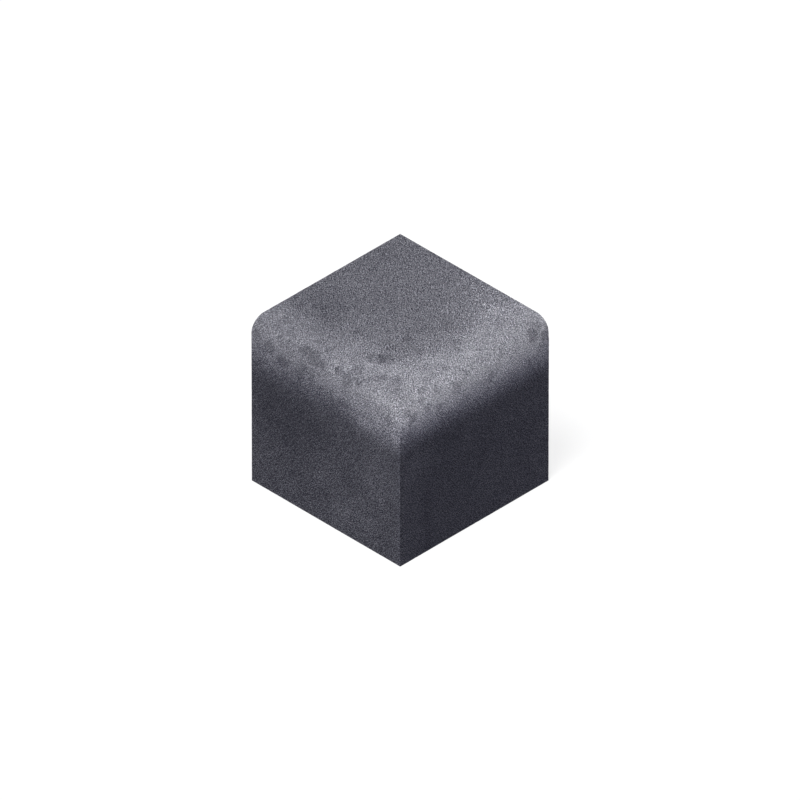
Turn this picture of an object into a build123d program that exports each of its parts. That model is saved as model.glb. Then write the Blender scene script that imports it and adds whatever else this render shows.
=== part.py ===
# Bullnose paver: one solid block of charcoal precast concrete. Two neighbouring top edges, the
# front one and the right one, are rounded to a bullnose. They meet in a mitre at the front right
# corner. Every other edge is left square, as it comes out of the mould.
#
# Units are millimetres. The origin is the centre of the bed face, which lies on the ground.
# +X points to the right nosed face, -Y to the front nosed face, and +Z up to the tread.

from build123d import *
import os

# Driving sizes
paver_length = 100.0  # left joint face to right nosed face, along X
paver_width = 100.0  # front nosed face to back joint face, along Y
paver_thickness = 94.0  # bed face to tread, along Z
nose_radius = 8.0  # quarter round on the front and right top edges

# The block stands on its bed face, with the origin in the middle of that face
with BuildPart() as paver:
    Box(
        paver_length,
        paver_width,
        paver_thickness,
        align=(Align.CENTER, Align.CENTER, Align.MIN),
    )
    # The two noses: the tread's front edge and its right edge
    tread_edges = paver.faces().sort_by(Axis.Z)[-1].edges()
    front_edge = tread_edges.sort_by(Axis.Y)[0]
    right_edge = tread_edges.sort_by(Axis.X)[-1]
    fillet([front_edge, right_edge], radius=nose_radius)

paver.part.label = "paver"

os.makedirs("parts", exist_ok=True)
export_step(paver.part, "parts/paver.step")
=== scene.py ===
import bpy
import math
import numpy as np
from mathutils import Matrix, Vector, noise


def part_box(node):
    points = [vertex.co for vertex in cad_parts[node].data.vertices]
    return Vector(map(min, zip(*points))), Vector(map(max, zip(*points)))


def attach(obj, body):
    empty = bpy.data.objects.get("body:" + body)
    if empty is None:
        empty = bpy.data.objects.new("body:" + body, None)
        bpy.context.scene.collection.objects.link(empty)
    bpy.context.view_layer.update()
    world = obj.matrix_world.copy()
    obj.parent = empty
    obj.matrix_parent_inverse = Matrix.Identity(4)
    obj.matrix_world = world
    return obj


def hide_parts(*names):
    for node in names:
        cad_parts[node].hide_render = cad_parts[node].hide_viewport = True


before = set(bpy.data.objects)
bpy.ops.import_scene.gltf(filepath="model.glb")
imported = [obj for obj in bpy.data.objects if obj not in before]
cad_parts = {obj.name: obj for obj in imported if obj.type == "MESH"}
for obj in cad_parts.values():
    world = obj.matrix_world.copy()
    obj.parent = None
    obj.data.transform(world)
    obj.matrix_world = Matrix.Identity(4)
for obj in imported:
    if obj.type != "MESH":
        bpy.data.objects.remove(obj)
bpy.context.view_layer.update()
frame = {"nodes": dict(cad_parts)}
print("frame loaded:", ", ".join(frame["nodes"]))

mm = 0.001


# small helpers for node trees

def feed(tree, socket, value):  # a value is a number, a colour, a vector or another node's output
    if isinstance(value, bpy.types.NodeSocket):
        tree.links.new(value, socket)
    else:
        socket.default_value = value


def addNode(tree, kind, inputs=None, **settings):
    node = tree.nodes.new(kind)
    for name, value in settings.items():
        setattr(node, name, value)
    for name, value in (inputs or {}).items():
        feed(tree, node.inputs[name], value)
    return node


def mathOf(tree, operation, first, second):
    return addNode(tree, "ShaderNodeMath", {0: first, 1: second}, operation=operation).outputs[0]


def vectorOf(tree, operation, *values):  # all its outputs, because a distance is a number
    return addNode(tree, "ShaderNodeVectorMath", dict(enumerate(values)), operation=operation).outputs


def ranged(tree, value, fromLow, fromHigh, toLow=0.0, toHigh=1.0, smooth=True):
    style = "SMOOTHSTEP" if smooth else "LINEAR"
    inputs = {"Value": value, "From Min": fromLow, "From Max": fromHigh, "To Min": toLow, "To Max": toHigh}
    return addNode(tree, "ShaderNodeMapRange", inputs, interpolation_type=style).outputs["Result"]


def blendOf(tree, share, first, second):  # share 0 gives the first
    return ranged(tree, share, 0.0, 1.0, first, second, smooth=False)


def factorOf(tree, value, depth):  # 1 where the value is 0, and more or less around it
    return mathOf(tree, "ADD", mathOf(tree, "MULTIPLY", value, depth), 1.0)


def noiseOf(tree, vector, size, detail, roughness=0.5):  # its size is in mm
    inputs = {"Vector": vector, "Scale": 1 / (size * mm), "Detail": detail, "Roughness": roughness}
    return addNode(tree, "ShaderNodeTexNoise", inputs).outputs


def aroundZero(tree, value):  # noise mostly lies from 0.25 to 0.75
    return ranged(tree, value, 0.25, 0.75, -0.5, 0.5, smooth=False)


def cellsOf(tree, vector, scale):
    return addNode(tree, "ShaderNodeTexVoronoi", {"Vector": vector, "Scale": scale}).outputs


def channelOf(tree, colour, name):
    return addNode(tree, "ShaderNodeSeparateColor", {0: colour}).outputs[name]


def newGroup(name, inputs, outputs):
    group = bpy.data.node_groups.new(name, "ShaderNodeTree")
    for label, (kind, value) in inputs.items():
        socket = group.interface.new_socket(name=label, in_out="INPUT", socket_type="NodeSocket" + kind)
        if value is not None:
            socket.default_value = value
    for label, kind in outputs.items():
        group.interface.new_socket(name=label, in_out="OUTPUT", socket_type="NodeSocket" + kind)
    return group, group.nodes.new("NodeGroupInput").outputs, group.nodes.new("NodeGroupOutput").inputs


def placeGroup(tree, group, inputs):
    node = addNode(tree, "ShaderNodeGroup", node_tree=group)
    for name, value in inputs.items():
        feed(tree, node.inputs[name], value)
    return node.outputs


# the paver's shape

paverShape = {
    "noseRadius": 8 * mm,  # the quarter round that the outline shows
    "softReach": 31.5 * mm,  # how far from the nose line the surface shades as rounded
    "softUpright": (0.06, 0.75),  # shares of that reach, upwards, over which the upright edge shades softer
    "sharpAngle": 35,  # degrees from which an edge of the mesh shades as sharp
    "fineStep": 0.3 * mm,  # mesh spacing beside the edges
    "wideStep": 0.88 * mm,  # mesh spacing over the faces
    "fineReach": 2.4 * mm,  # how far from an edge the spacing is wide
    "arris": 0.13 * mm,  # rounding of the square edges
    "arrisWaves": (260, 0.5),  # how many a metre make it ragged, and by what share
    "arrisChips": 0.5 * mm,  # what the deepest nicks add to it
    "chipWaves": (620, 0.32),  # how many a metre, and the height over which one is a nick
    "cornerWear": 7.0 * mm,  # rounding of the upright edge under the mitre, at its top
    "cornerReach": 30.0 * mm,  # how far down that wear fades out
    "swellDepth": 0.05 * mm,
    "swellWaves": (70, 0.6, 2.1, 3),  # how many a metre, then their falloff, spacing and octaves
    "pittingDepth": 0.05 * mm,
    "pittingWaves": (480, 0.7, 2.0, 2),
    "flakeDepth": 0.4 * mm,  # a flake's depth is this times how much darker it is
    "flakeBends": (2.5 * mm, 0.9 * mm),  # the size of the bends in a flake's outline, and their reach
    "bendShift": 7.3,  # keeps the bends along the three axes apart
    "flakeRim": 0.82,  # share of a flake's size where its floor ends
    "seed": 11.0,
}

# flakes that have come off: nose, mm along it from the block's middle, mm away from the nose line
# (down the face, or back over the tread where negative), size in mm, how much darker it is
flakes = [
    ("front", -42, -23, 3.0, 0.14), ("front", -34, -30, 3.5, 0.20), ("front", -29, -27, 3.0, 0.16),
    ("front", -37, -12, 2.5, 0.14), ("front", -38, -4, 2.5, 0.14),
    ("front", -46, 8, 3.6, 0.28), ("front", -38, 10, 4.0, 0.32), ("front", -43, 13, 3.2, 0.26),
    ("front", -29, 14, 4.2, 0.32), ("front", -17, 0, 3.2, 0.20), ("front", -14, 1, 3.0, 0.18),
    ("front", -10, 2, 4.5, 0.30), ("front", -4, 4, 3.2, 0.32), ("front", -17, 16, 2.6, 0.24),
    ("front", -9, 17, 2.6, 0.26), ("front", 7, 0, 3.0, 0.28), ("front", 13, 4, 3.8, 0.32),
    ("front", 15, -7, 3.8, 0.24), ("front", 21, 1, 2.5, 0.18), ("front", -15, -9, 2.2, 0.16),
    ("front", -6, -8, 2.2, 0.20), ("front", 15, -19, 5.0, 0.25), ("front", 19, -22, 5.0, 0.22),
    ("front", 14, -30, 2.5, 0.22), ("front", 28, -10, 2.6, 0.24), ("front", 34, -14, 3.6, 0.28),
    ("front", 40, -7, 2.4, 0.24), ("front", 35, 10, 2.4, 0.26), ("front", 43, 14, 3.5, 0.24),
    ("front", 11, 18, 3.0, 0.18), ("right", -9, -36, 2.8, 0.26), ("right", -12, -25, 3.0, 0.20),
    ("right", 6, -18, 2.5, 0.18), ("right", 40, 4, 3.8, 0.34), ("right", 44, 0, 3.0, 0.26),
    ("right", 48, 8, 3.8, 0.36), ("right", -13, -7, 2.6, 0.24), ("right", -26, -6, 2.3, 0.24),
    ("right", -21, -6, 2.3, 0.22), ("right", -33, -2, 2.3, 0.26), ("right", -24, 4, 2.5, 0.28),
    ("right", -12, 9, 4.0, 0.26), ("right", 11, 14, 2.6, 0.26), ("right", 16, 13, 2.5, 0.18),
    ("right", 19, 4, 2.3, 0.18), ("right", -35, 5, 2.5, 0.26), ("right", -32, 11, 2.7, 0.26),
    ("right", -24, 14, 3.0, 0.24), ("right", -41, 12, 3.2, 0.34), ("right", -45, 8, 2.6, 0.24),
]

low, high = (np.array(corner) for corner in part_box("paver"))
middle = (low + high) / 2


def flakePlace(nose, along, away):  # on the nose itself where the place is that near to its line
    radius = paverShape["noseRadius"]
    across = np.array([max(0, -away), max(0, away)]) * mm
    if across.max() < radius:
        across = radius + (across - radius) * radius / np.linalg.norm(across - radius)
    inwards, down = across
    if nose == "front":
        return along * mm, low[1] + inwards, high[2] - down
    return high[0] - inwards, along * mm, high[2] - down


def stations(first, last):  # close together at both ends, even between
    fine, wide, reach = (paverShape[name] for name in ("fineStep", "wideStep", "fineReach"))
    offsets = [0.0]
    while offsets[-1] < reach:
        offsets.append(offsets[-1] + fine + (wide - fine) * offsets[-1] / reach)
    span = (last - first) - 2 * offsets[-1]
    count = round(span / wide)
    inner = [first + offsets[-1] + span * step / count for step in range(1, count)]
    return [first + gap for gap in offsets] + inner + [last - gap for gap in reversed(offsets)]


lines = [stations(low[axis], high[axis]) for axis in range(3)]
ends = [len(line) - 1 for line in lines]
sides = {  # the two axes that run over a side, the fixed one and its line
    "bed": (1, 0, 2, 0),
    "tread": (0, 1, 2, ends[2]),
    "front": (0, 2, 1, 0),
    "back": (2, 0, 1, ends[1]),
    "left": (2, 1, 0, 0),
    "right": (1, 2, 0, ends[0]),
}


def boxLattice():  # one closed box of quads, with the points of shared edges shared
    numbers, points, faces, faceSides = {}, [], [], []

    def corner(axes, i, j, k):
        key = [0, 0, 0]
        for axis, step in zip(axes, (i, j, k)):
            key[axis] = step
        key = tuple(key)
        if key not in numbers:
            numbers[key] = len(points)
            points.append([line[step] for line, step in zip(lines, key)])
        return numbers[key]

    for name, (first, second, fixed, k) in sides.items():
        for i in range(ends[first]):
            for j in range(ends[second]):
                ring = ((i, j), (i + 1, j), (i + 1, j + 1), (i, j + 1))
                faces.append([corner((first, second, fixed), a, b, k) for a, b in ring])
                faceSides.append(name)
    return np.array(points), faces, faceSides


def smoothstep(value, start, end):
    t = np.clip((value - start) / (end - start), 0, 1)
    return t * t * (3 - 2 * t)


def roundMin(a, b, radius):  # the lesser of two depths, with a quarter round where they meet
    across = np.hypot(np.maximum(radius - a, 0), np.maximum(radius - b, 0))
    return np.where((a < radius) & (b < radius), radius - across, np.minimum(a, b))


def arrisRadii(points):
    seed = paverShape["seed"]
    waves, unevenness = paverShape["arrisWaves"]
    chipWaves, rarity = paverShape["chipWaves"]
    radii = []
    for point in points.tolist():
        ragged = noise.noise(Vector(point) * waves + Vector((seed, 0, 0)))
        chip = max(0.0, noise.noise(Vector(point) * chipWaves + Vector((0, seed, 0))) - rarity)
        radii.append(paverShape["arris"] * (1 + unevenness * ragged) + paverShape["arrisChips"] * chip)
    return np.array(radii)


def depthInside(points, arris):  # how deep a point lies under the worn block's surface
    left, front, bed = (points - low).T
    right, back, tread = (high - points).T
    wearAndHighlight = smoothstep(-tread, -paverShape["cornerReach"], -paverShape["noseRadius"])
    upright = roundMin(front, right, arris + paverShape["cornerWear"] * wearAndHighlight)
    depth = roundMin(tread, upright, paverShape["noseRadius"])
    for plane in (left, back, bed):
        depth = roundMin(depth, plane, arris)
    return depth


def drawnIn(points, arris):  # each point goes straight towards the block's middle until it meets the surface
    inner, outer = np.full(len(points), 0.8), np.ones(len(points))  # shares of its way from the middle
    for halving in range(26):
        share = (inner + outer) / 2
        inside = depthInside(middle + (points - middle) * share[:, None], arris) > 0
        inner, outer = np.where(inside, share, inner), np.where(inside, outer, share)
    return middle + (points - middle) * inner[:, None]


def softNormals(points, side):  # where the surface shades towards, as if rounded over softReach
    reach = paverShape["softReach"]
    right = np.maximum(0, points[:, 0] - high[0] + reach) / reach
    front = np.maximum(0, low[1] + reach - points[:, 1]) / reach
    up = np.maximum(0, points[:, 2] - high[2] + reach) / reach
    shared = smoothstep(up, *paverShape["softUpright"])  # the upright edge stays crisp low down
    right = right * shared if side == "front" else right
    front = front * shared if side == "right" else front
    vectors = np.stack((right, -front, up), axis=1)
    return vectors / np.linalg.norm(vectors, axis=1)[:, None]


def flaked(points):  # a flake's darkness on its floor, 0 outside all flakes
    size, reach = paverShape["flakeBends"]
    shifts = [Vector((0, paverShape["bendShift"] * axis, 0)) for axis in range(3)]
    bends = [[noise.noise(Vector(point) / size + shift) for shift in shifts] for point in points.tolist()]
    bent = points + np.array(bends) * reach
    share = np.zeros(len(points))
    for nose, along, away, size, darker in flakes:
        gap = np.linalg.norm(bent - flakePlace(nose, along, away), axis=1) / (size * mm)
        share = np.maximum(share, darker * (1 - smoothstep(gap, paverShape["flakeRim"], 1.0)))
    return share


def relief(points):  # how far the cast surface lies under its ideal one
    seed = paverShape["seed"]
    swellWaves, *swellNoise = paverShape["swellWaves"]
    pittingWaves, *pittingNoise = paverShape["pittingWaves"]
    depths = []
    for point in points.tolist():
        swell = noise.fractal(Vector(point) * swellWaves + Vector((0, 0, seed)), *swellNoise)
        swell = min(1.0, max(0.0, 0.5 + 0.5 * swell))
        pitting = noise.fractal(Vector(point) * pittingWaves + Vector((seed, 2, 5)), *pittingNoise)
        depths.append(paverShape["swellDepth"] * swell + paverShape["pittingDepth"] * abs(pitting))
    return np.array(depths) + paverShape["flakeDepth"] * flaked(points)


def cornerNormals(mesh):
    values = np.empty(len(mesh.loops) * 3)
    mesh.corner_normals.foreach_get("vector", values)
    return values.reshape(-1, 3)


lattice, faces, faceSides = boxLattice()
shell = drawnIn(lattice, arrisRadii(lattice))
mesh = bpy.data.meshes.new("paverBody")
mesh.from_pydata(shell.tolist(), [], faces)
mesh.shade_smooth()
mesh.set_sharp_from_angle(angle=math.radians(paverShape["sharpAngle"]))
smoothCorners = cornerNormals(mesh)
outwards = np.array([vertex.normal for vertex in mesh.vertices])
mesh.vertices.foreach_set("co", (shell - outwards * relief(shell)[:, None]).ravel())
mesh.update()
shading = cornerNormals(mesh)
loopPoints = shell[np.array([loop.vertex_index for loop in mesh.loops])]
loopSides = np.repeat(np.array(faceSides), 4)
for side in ("tread", "front", "right"):  # the relief's own shading goes on top of the soft one
    chosen = loopSides == side
    shading[chosen] += softNormals(loopPoints[chosen], side) - smoothCorners[chosen]
shading /= np.linalg.norm(shading, axis=1)[:, None]
mesh.normals_split_custom_set(shading.tolist())
paver = bpy.data.objects.new("paverBody", mesh)
bpy.context.collection.objects.link(paver)
print("paver mesh:", len(mesh.vertices), "vertices,", len(mesh.polygons), "faces")


# the concrete

concreteLook = {
    "skinAndShadeTones": (0.152, 0.139, 0.133),  # albedo of the cast skin on the tread, the front and the right face, the two faces darker as painted shade
    "blueHazeAndShade": (0.066, 0.092, 0.118),  # how blue the dark parts are there, the front and the right face bluer as painted shade
    "hazePower": 0.55,  # under 1, so that the haze shows most where the concrete is dark
    "treadEdge": (2.0, 26.0),  # mm under the tread over which its tone turns into the faces' tones
    "uprightEdge": 4.0,  # mm on both sides of the upright edge over which the faces' tones meet
    "rightLean": (18.0, 1.33, 1.04),  # mm from the upright edge, the right face's factor at it and past that
    "treadLean": 0.14,  # the tread is paler towards the right
    "lowDown": (40.0, 88.0),  # mm under the tread over which a face changes towards the ground
    "lowPale": 0.06,  # how much paler it gets
    "lowGrain": 1.16,  # how much stronger the front face's grain gets
    "frontWearAndHighlightTones": (0.25, 0.38),  # the worn front nose with its painted highlight, from its left end to the mitre
    "rightWearAndHighlightTones": (0.38, 0.42),  # the right one, from its back end to the mitre
    "frontWearAndHighlightRun": (70.0, 0.0),  # mm from the mitre between which its tone changes
    "rightWearAndHighlightRun": (90.0, 30.0),
    "treadReach": (33.0, 3.0),  # mm from the nose line: where the wear and painted highlight start, and where they are whole
    "faceReaches": ((3.0, 27.5), (7.0, 29.0)),  # below the line, whole first, on the front and the right
    "wrap": (2.0, 7.0),  # mm that the wear and painted highlight turn round a square end
    "raggedBorders": (12.0, 4.0),  # mm that clouds and mottles push the border of the wear and painted highlight to and fro
    "raggedShares": (0.7, 0.5),  # what each of them does of that
    "sandyBorder": 1.0,  # mm that single grains push it
    "cloudSize": 24.0,
    "cloudNoise": (3.0, 0.55),  # detail and roughness
    "cloudDepth": 0.16,
    "mottleSize": 7.0,
    "mottleNoise": (3.0, 0.5),
    "mottleDepths": (0.04, 0.16, 0.08),  # on the tread, the faces and the worn, painted-highlight noses
    "grainSizes": (0.26, 0.46),  # fine and coarse
    "grainApart": 0.62,  # how far off the coarse grains are that each one stands out from
    "fineDepths": (0.50, 0.39),  # on the cast skin, on the worn, painted-highlight noses
    "coarseDepths": (0.40, 0.29),
    "shadedGrain": 0.85,  # the grain is weaker on the right face
    "darkestGrain": 0.15,
    "sparklePlace": (15.0, 36.0),  # where painted glints lie scattered on the tread
    "sparkleReach": 34.0,
    "sparkleCore": 0.3,  # share of that reach where they are at their palest
    "sparkleSize": 1.7,
    "sparkleNoise": (0.58, 0.66),  # the noise between which a grain turns pale as a painted glint
    "sparkleDepth": 0.7,
    "scabSize": 2.6,  # small scabs of skin that are left on the worn, painted-highlight noses
    "scabShares": (0.08, 0.04),  # how much of the front and the right nose they cover
    "scabRim": 0.05,
    "scabDepth": 0.14,
    "bends": (2.5, 5.0),  # the size of the bends in the outlines of scabs and flakes, and their reach
    "flakeCore": 0.8,  # share of its size where a flake is at its darkest
    "softPatchCore": 0.1,
    "roughness": (0.92, 0.80),  # cast skin, worn nose
    "shine": 0.08,
    "bumpDepth": 0.09,  # mm
}
look = concreteLook

# soft patches, placed in the same way; below zero they are paler
softPatches = [
    ("front", -30, 46, 34.0, 0.28), ("front", -34, -32, 24.0, 0.18), ("front", 15, 74, 26.0, -0.14),
    ("front", 36, 50, 26.0, -0.18), ("front", 13, -33, 32.0, -0.16), ("front", 40, 21, 15.0, -0.36),
    ("front", 27, 25, 13.0, -0.18), ("front", 50, 17, 8.0, 0.30), ("front", 2, 21, 12.0, 0.16),
    ("front", 30, 6, 15.0, 0.12), ("front", 38, -12, 9.0, 0.10), ("front", -14, -34, 14.0, -0.10),
    ("front", -46, -83, 16.0, 0.12), ("front", 16, 62, 10.0, 0.18), ("front", 10, 75, 6.0, 0.12),
    ("front", -19, 75, 9.0, 0.10), ("front", -3, 78, 7.0, 0.12), ("right", 48, 14, 9.0, 0.20),
    ("front", -4, 69, 9.0, -0.10), ("front", 32, 57, 13.0, -0.10), ("front", 11, 83, 10.0, -0.14),
    ("front", 30, 79, 10.0, -0.18), ("front", 43, 63, 7.0, 0.14), ("front", 38, 83, 8.0, 0.14),
    ("front", 35, 74, 4.0, 0.14), ("front", -5, 45, 14.0, 0.14), ("front", 22, 19, 10.0, -0.22),
    ("front", 40, 29, 8.0, -0.12), ("front", 20, -46, 9.0, -0.14), ("front", 2, -2, 3.5, -0.16),
    ("front", 10, -4, 3.5, -0.16), ("front", -21, -3, 4.5, -0.12), ("front", -36, 1, 4.5, -0.16),
    ("front", -43, -12, 4.0, -0.16), ("front", -13, 12, 8.0, 0.20), ("front", 19, 1, 7.0, 0.20),
    ("front", 27, -8, 9.0, 0.22), ("front", 37, -8, 9.0, 0.20), ("right", -43, -4, 9.0, 0.10),
    ("right", 22, -26, 26.0, -0.06), ("right", -46, 21, 10.0, 0.22), ("right", -36, 19, 13.0, 0.12),
    ("right", -2, -18, 14.0, 0.12), ("right", -18, 6, 12.0, -0.10), ("right", 14, 20, 14.0, -0.16),
    ("right", 40, -34, 26.0, -0.18), ("right", -43, 20, 6.0, 0.14), ("right", -35, 40, 14.0, -0.28),
    ("right", 38, 46, 15.0, -0.12), ("right", -20, -13, 9.0, 0.12), ("right", 4, -7, 3.5, -0.28),
    ("front", 35, 7, 9.0, -0.16), ("front", -46, -11, 4.0, 0.18), ("right", -16, 18, 6.0, -0.16),
]


def wearAndHighlightBandGroup():  # wear and painted highlight along one nose, from the depths under the two faces that meet there
    group, given, out = newGroup("wearAndHighlightBand", {
        "Under Tread": ("Float", 0.0), "Under Face": ("Float", 0.0), "Shift": ("Float", 0.0),
        "Tread Start": ("Float", 30.0), "Tread Whole": ("Float", 8.0),
        "Face Whole": ("Float", 6.0), "Face End": ("Float", 28.0),
        "Wrap Start": ("Float", 3.0), "Wrap End": ("Float", 9.0)}, {"Wear And Highlight": "Float"})
    offset = mathOf(group, "SUBTRACT", given["Under Tread"], given["Under Face"])
    start = mathOf(group, "MULTIPLY", given["Tread Start"], -1.0)
    whole = mathOf(group, "MULTIPLY", given["Tread Whole"], -1.0)
    wearAndHighlight = ranged(group, mathOf(group, "ADD", offset, given["Shift"]), start, whole)
    shifted = mathOf(group, "SUBTRACT", offset, given["Shift"])
    fading = ranged(group, shifted, given["Face Whole"], given["Face End"], 1.0, 0.0)
    nearest = mathOf(group, "MINIMUM", given["Under Tread"], given["Under Face"])
    near = ranged(group, nearest, given["Wrap Start"], given["Wrap End"], 1.0, 0.0)
    group.links.new(mathOf(group, "MULTIPLY", mathOf(group, "MULTIPLY", wearAndHighlight, fading), near), out["Wear And Highlight"])
    return group


def spotGroup():  # a spot round one place, crisp where Core is near 1
    group, given, out = newGroup("spot", {
        "Vector": ("Vector", None), "Place": ("Vector", None), "Size": ("Float", 5.0),
        "Core": ("Float", 0.8)}, {"Spot": "Float"})
    gap = vectorOf(group, "DISTANCE", given["Vector"], given["Place"])["Value"]
    share = mathOf(group, "DIVIDE", mathOf(group, "MULTIPLY", gap, 1 / mm), given["Size"])
    group.links.new(ranged(group, share, given["Core"], 1.0, 1.0, 0.0), out["Spot"])
    return group


def sandGrainGroup():  # single grains of sand in two sizes, each with its own tone
    group, given, out = newGroup("sandGrain", {
        "Vector": ("Vector", None), "Fine Size": ("Float", 0.3), "Coarse Size": ("Float", 0.5),
        "Apart": ("Float", 0.6)}, {"Fine": "Float", "Coarse": "Float", "Height": "Float"})
    paleRarity = 3.0
    domeReach = 0.9

    def grainsAt(vector, label):
        return cellsOf(group, vector, mathOf(group, "DIVIDE", 1 / mm, given[label + " Size"]))

    def toneOf(grains):  # mostly dark, now and then pale, and 0 on average
        pale = mathOf(group, "POWER", channelOf(group, grains["Color"], "Red"), paleRarity)
        return mathOf(group, "SUBTRACT", mathOf(group, "MULTIPLY", pale, paleRarity + 1), 1.0)

    def heightOf(grains):  # a dome on each one
        dome = ranged(group, grains["Distance"], 0.0, domeReach, 1.0, 0.0)
        return mathOf(group, "MULTIPLY", dome, channelOf(group, grains["Color"], "Green"))

    fineGrains = grainsAt(given["Vector"], "Fine")
    coarseGrains = grainsAt(given["Vector"], "Coarse")
    coarse = toneOf(coarseGrains)
    apart = mathOf(group, "MULTIPLY", given["Apart"], mm)
    for axis in "XYZ":  # a coarse grain stands out from the mean of the six that lie beside it
        step = addNode(group, "ShaderNodeCombineXYZ", {axis: apart}).outputs[0]
        for way in ("ADD", "SUBTRACT"):
            beside = grainsAt(vectorOf(group, way, given["Vector"], step)["Vector"], "Coarse")
            coarse = mathOf(group, "SUBTRACT", coarse, mathOf(group, "MULTIPLY", toneOf(beside), 1 / 6))
    group.links.new(toneOf(fineGrains), out["Fine"])
    group.links.new(coarse, out["Coarse"])
    group.links.new(mathOf(group, "ADD", heightOf(fineGrains), heightOf(coarseGrains)), out["Height"])
    return group


def depthUnder(tree, plane, part, inwards):  # mm under a face; inwards is -1 where that way is up the axis
    return mathOf(tree, "MULTIPLY", mathOf(tree, "SUBTRACT", float(plane), part), inwards / mm)


concrete = bpy.data.materials.new("charcoalConcrete")
concrete.use_nodes = True
tree = concrete.node_tree
shader = tree.nodes["Principled BSDF"]
spot = tree.nodes.new("ShaderNodeTexCoord").outputs["Object"]
parts = addNode(tree, "ShaderNodeSeparateXYZ", {0: spot}).outputs
underTread = depthUnder(tree, high[2], parts["Z"], 1)
underRight = depthUnder(tree, high[0], parts["X"], 1)
underFront = depthUnder(tree, low[1], parts["Y"], -1)

clouds = noiseOf(tree, spot, look["cloudSize"], *look["cloudNoise"])["Fac"]
mottles = noiseOf(tree, spot, look["mottleSize"], *look["mottleNoise"])["Fac"]
wander = aroundZero(tree, clouds)
speckle = aroundZero(tree, mottles)
grain = placeGroup(tree, sandGrainGroup(), {
    "Vector": spot, "Fine Size": look["grainSizes"][0], "Coarse Size": look["grainSizes"][1],
    "Apart": look["grainApart"]})
bendSize, bendReach = look["bends"]
bends = vectorOf(tree, "SUBTRACT", noiseOf(tree, spot, bendSize, 2.0)["Color"], (0.5, 0.5, 0.5))["Vector"]
bentSpot = vectorOf(tree, "MULTIPLY_ADD", bends, (bendReach * mm,) * 3, spot)["Vector"]

# the cast skin: cloudy, with painted shade making the front and the right face bluer and darker than the
# tread
onTread = ranged(tree, underTread, *look["treadEdge"], 1.0, 0.0)
towardsRight = mathOf(tree, "SUBTRACT", underFront, underRight)
onRight = ranged(tree, towardsRight, -look["uprightEdge"], look["uprightEdge"])
treadTone, frontTone, rightTone = look["skinAndShadeTones"]
treadHaze, frontHaze, rightHaze = look["blueHazeAndShade"]
leanReach, atEdge, pastIt = look["rightLean"]
rightSkin = ranged(tree, underFront, 0.0, leanReach, rightTone * atEdge, rightTone * pastIt)
skin = blendOf(tree, onTread, blendOf(tree, onRight, frontTone, rightSkin), treadTone)
haze = blendOf(tree, onTread, blendOf(tree, onRight, frontHaze, rightHaze), treadHaze)
blockLength = float(high[0] - low[0]) / mm
lean = ranged(tree, towardsRight, -blockLength, blockLength, -0.5, 0.5, smooth=False)
treadMottle, faceMottle, noseMottle = look["mottleDepths"]
lowDown = ranged(tree, underTread, *look["lowDown"])
for value, depth in ((lowDown, look["lowPale"]), (lean, look["treadLean"]), (wander, look["cloudDepth"]),
                     (speckle, blendOf(tree, onTread, faceMottle, treadMottle))):
    skin = mathOf(tree, "MULTIPLY", skin, factorOf(tree, value, depth))

# the worn noses, paler from wear and from painted highlight, with borders that clouds, mottles and single
# grains push about
wearAndHighlightBand = wearAndHighlightBandGroup()
cloudShare, mottleShare = look["raggedShares"]
drift = mathOf(tree, "MULTIPLY", wander, cloudShare)
drift = mathOf(tree, "ADD", drift, mathOf(tree, "MULTIPLY", speckle, mottleShare))
sandy = mathOf(tree, "MULTIPLY", grain["Coarse"], look["sandyBorder"])
masks = []
for underFace, ragged, reach in zip((underFront, underRight), look["raggedBorders"], look["faceReaches"]):
    band = placeGroup(tree, wearAndHighlightBand, {
        "Under Tread": underTread, "Under Face": underFace,
        "Shift": mathOf(tree, "ADD", mathOf(tree, "MULTIPLY", drift, ragged), sandy),
        "Tread Start": look["treadReach"][0], "Tread Whole": look["treadReach"][1],
        "Face Whole": reach[0], "Face End": reach[1],
        "Wrap Start": look["wrap"][0], "Wrap End": look["wrap"][1]})
    masks.append(band["Wear And Highlight"])
frontWearAndHighlight = ranged(tree, underRight, *look["frontWearAndHighlightRun"], *look["frontWearAndHighlightTones"])
rightWearAndHighlight = ranged(tree, underFront, *look["rightWearAndHighlightRun"], *look["rightWearAndHighlightTones"])
mottled = factorOf(tree, speckle, noseMottle)
scabs = channelOf(tree, cellsOf(tree, bentSpot, 1 / (look["scabSize"] * mm))["Color"], "Red")
tone = skin
for mask, wearAndHighlightTone, share in zip(masks, (frontWearAndHighlight, rightWearAndHighlight), look["scabShares"]):
    scab = ranged(tree, scabs, share + look["scabRim"], share - look["scabRim"], 0.0, look["scabDepth"])
    for factor in (mathOf(tree, "SUBTRACT", 1.0, scab), mottled, mask):
        wearAndHighlightTone = mathOf(tree, "MULTIPLY", wearAndHighlightTone, factor)
    rest = mathOf(tree, "MULTIPLY", tone, mathOf(tree, "SUBTRACT", 1.0, mask))
    tone = mathOf(tree, "ADD", rest, wearAndHighlightTone)
wearAndHighlight = mathOf(tree, "MAXIMUM", *masks)

# flakes with crisp borders, and soft patches
spotShape = spotGroup()
for marks, where, core in ((flakes, bentSpot, look["flakeCore"]), (softPatches, spot, look["softPatchCore"])):
    for nose, along, away, size, depth in marks:
        mark = placeGroup(tree, spotShape, {
            "Vector": where, "Place": flakePlace(nose, along, away), "Size": size, "Core": core})
        tone = mathOf(tree, "MULTIPLY", tone, factorOf(tree, mark["Spot"], -depth))

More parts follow.
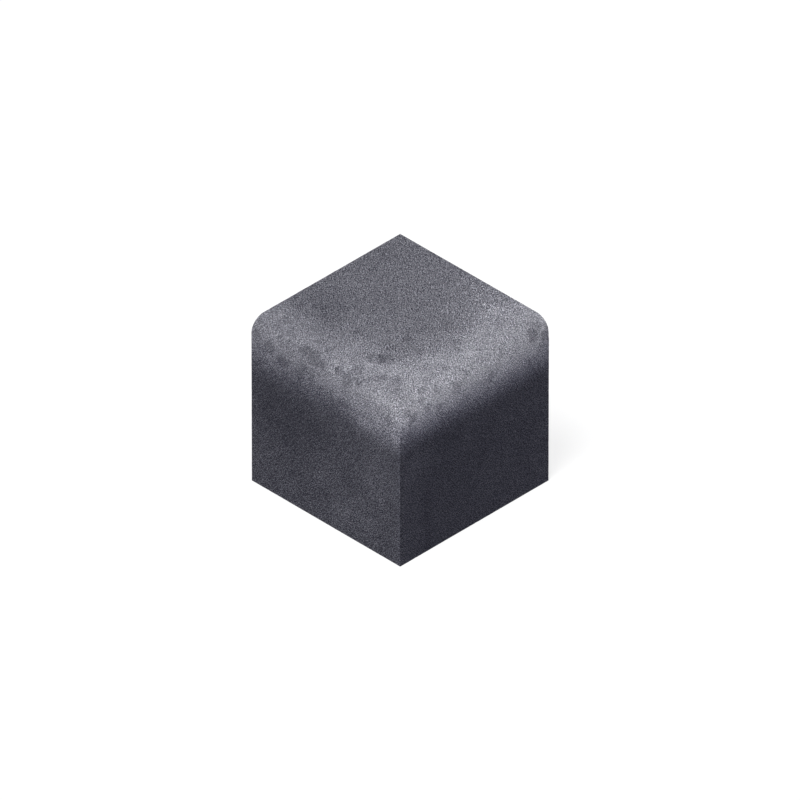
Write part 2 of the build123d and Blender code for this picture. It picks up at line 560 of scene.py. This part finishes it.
# single grains, weaker on the worn, painted-highlight noses and the right face, stronger low on the front
# one
fine = mathOf(tree, "MULTIPLY", grain["Fine"], blendOf(tree, wearAndHighlight, *look["fineDepths"]))
coarse = mathOf(tree, "MULTIPLY", grain["Coarse"], blendOf(tree, wearAndHighlight, *look["coarseDepths"]))
shaded = mathOf(tree, "MULTIPLY", onRight, mathOf(tree, "SUBTRACT", 1.0, onTread))
frontStrength = ranged(tree, underTread, *look["lowDown"], 1.0, look["lowGrain"])
strength = blendOf(tree, shaded, frontStrength, look["shadedGrain"])
grainTone = factorOf(tree, mathOf(tree, "ADD", fine, coarse), strength)
tone = mathOf(tree, "MULTIPLY", tone, mathOf(tree, "MAXIMUM", grainTone, look["darkestGrain"]))

# painted glints: pale grains scattered over part of the tread
sparkleX, sparkleY = look["sparklePlace"]
sparkling = placeGroup(tree, spotShape, {
    "Vector": spot, "Place": (sparkleX * mm, sparkleY * mm, float(high[2])),
    "Size": look["sparkleReach"], "Core": look["sparkleCore"]})["Spot"]
glints = noiseOf(tree, spot, look["sparkleSize"], 2.0)["Fac"]
glints = ranged(tree, glints, *look["sparkleNoise"], 0.0, look["sparkleDepth"])
tone = mathOf(tree, "MULTIPLY", tone, factorOf(tree, glints, sparkling))

blue = mathOf(tree, "MULTIPLY", mathOf(tree, "POWER", tone, look["hazePower"]), haze)
blue = mathOf(tree, "ADD", tone, blue)
colour = addNode(tree, "ShaderNodeCombineColor", {"Red": tone, "Green": tone, "Blue": blue}).outputs[0]
feed(tree, shader.inputs["Base Color"], colour)
feed(tree, shader.inputs["Roughness"], ranged(tree, wearAndHighlight, 0.0, 1.0, *look["roughness"]))
shader.inputs["Specular IOR Level"].default_value = look["shine"]
height = mathOf(tree, "ADD", grain["Height"], mottles)
bumpDepth = look["bumpDepth"] * mm
bump = addNode(tree, "ShaderNodeBump", {"Height": height, "Distance": bumpDepth, "Strength": 1.0})
feed(tree, shader.inputs["Normal"], bump.outputs["Normal"])
mesh.materials.append(concrete)

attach(paver, "root")
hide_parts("paver")
print("concrete done")


# floor, light and camera

studio = {
    "floorSize": 12.0,
    "floorGap": 0.02 * mm,  # under the bed
    "floorGlow": 0.84,  # how much of the floor's white the shadow can't take away
    "floorWhite": 0.2,
    "floorBounce": 0.10,  # grey that the floor shows to the block
    "keyFrom": (0.12, -0.41, 1.0),
    "keyStrength": 2.75,
    "keyAngle": 18,
    "fillFrom": (-0.6, 0.75, 0.6),
    "fillStrength": 0.7,
    "fillAngle": 60,
    "skyLight": 0.07,
    "skyTint": (0.92, 0.96, 1.28),
}


def whiteToCamera(tree, plain, white):  # camera, glossy and see-through rays meet the white one
    path = tree.nodes.new("ShaderNodeLightPath")
    seen = mathOf(tree, "MAXIMUM", path.outputs["Is Camera Ray"], path.outputs["Is Glossy Ray"])
    seen = mathOf(tree, "MAXIMUM", seen, path.outputs["Is Transmission Ray"])
    return addNode(tree, "ShaderNodeMixShader", {0: seen, 1: plain, 2: white}).outputs[0]


half = studio["floorSize"] / 2
floorMesh = bpy.data.meshes.new("floor")
floorMesh.from_pydata([(-half, -half, 0), (half, -half, 0), (half, half, 0), (-half, half, 0)],
                      [], [(0, 1, 2, 3)])
floor = bpy.data.objects.new("floor", floorMesh)
floor.location.z = low[2] - studio["floorGap"]
bpy.context.collection.objects.link(floor)
floorPaint = bpy.data.materials.new("floorPaint")
floorPaint.use_nodes = True
tree = floorPaint.node_tree
tree.nodes.clear()
bounce, white = studio["floorBounce"], studio["floorWhite"]
plain = addNode(tree, "ShaderNodeBsdfDiffuse", {"Color": (bounce, bounce, bounce, 1)}).outputs[0]
lit = addNode(tree, "ShaderNodeBsdfDiffuse", {"Color": (white, white, white, 1)}).outputs[0]
glow = addNode(tree, "ShaderNodeEmission", {"Strength": studio["floorGlow"]}).outputs[0]
pale = addNode(tree, "ShaderNodeAddShader", {0: lit, 1: glow}).outputs[0]
surface = tree.nodes.new("ShaderNodeOutputMaterial")
tree.links.new(whiteToCamera(tree, plain, pale), surface.inputs["Surface"])
floorMesh.materials.append(floorPaint)


def addSun(name, source, strength, angle):
    lamp = bpy.data.lights.new(name, "SUN")
    lamp.energy = strength
    lamp.angle = math.radians(angle)
    sun = bpy.data.objects.new(name, lamp)
    sun.rotation_mode = "QUATERNION"
    sun.rotation_quaternion = Vector(source).to_track_quat("Z", "Y")
    bpy.context.collection.objects.link(sun)


addSun("keyLight", studio["keyFrom"], studio["keyStrength"], studio["keyAngle"])
addSun("fillLight", studio["fillFrom"], studio["fillStrength"], studio["fillAngle"])

world = bpy.data.worlds.new("studio")
bpy.context.scene.world = world
world.use_nodes = True
tree = world.node_tree
tree.nodes.clear()
skyTint = (*studio["skyTint"], 1)
sky = addNode(tree, "ShaderNodeBackground", {"Color": skyTint, "Strength": studio["skyLight"]}).outputs[0]
backdrop = addNode(tree, "ShaderNodeBackground", {"Color": (1, 1, 1, 1), "Strength": 1.0}).outputs[0]
surface = tree.nodes.new("ShaderNodeOutputWorld")
tree.links.new(whiteToCamera(tree, sky, backdrop), surface.inputs["Surface"])
bpy.context.scene.view_settings.view_transform = "Standard"

cameraView = {
    "azimuth": 45.0,  # looks along -X and +Y, with the front face on the left
    "elevation": math.degrees(math.atan(math.sqrt(0.5))),  # equal slopes on both sides
    "lens": 1500.0,  # long, because the photograph has no perspective
    "sensor": 36.0,
    "farthest": 60,  # metres that the camera sees
    "pixelsAcross": 800,
    "blockPixels": 210.4,  # the block's length at the photograph's scale
    "centrePixel": (400.2, 399.9),  # where the middle of the block's box lies
}
camera = bpy.data.cameras.new("camera")
camera.lens = cameraView["lens"]
camera.sensor_width = cameraView["sensor"]
camera.clip_end = cameraView["farthest"]
cameraObject = bpy.data.objects.new("camera", camera)
azimuth, elevation = math.radians(cameraView["azimuth"]), math.radians(cameraView["elevation"])
level = math.cos(elevation)
back = Vector((math.sin(azimuth) * level, -math.cos(azimuth) * level, math.sin(elevation)))
turn = back.to_track_quat("Z", "Y")
perPixel = (high[0] - low[0]) / cameraView["blockPixels"]
distance = cameraView["pixelsAcross"] * perPixel / cameraView["sensor"] * cameraView["lens"]
middlePixel = cameraView["pixelsAcross"] / 2
centreX, centreY = cameraView["centrePixel"]
slide = turn @ Vector(((middlePixel - centreX) * perPixel, (centreY - middlePixel) * perPixel, 0))
cameraObject.location = Vector(middle) + back * distance + slide
cameraObject.rotation_mode = "QUATERNION"
cameraObject.rotation_quaternion = turn
bpy.context.collection.objects.link(cameraObject)
bpy.context.scene.camera = cameraObject
print("floor, light and camera done")
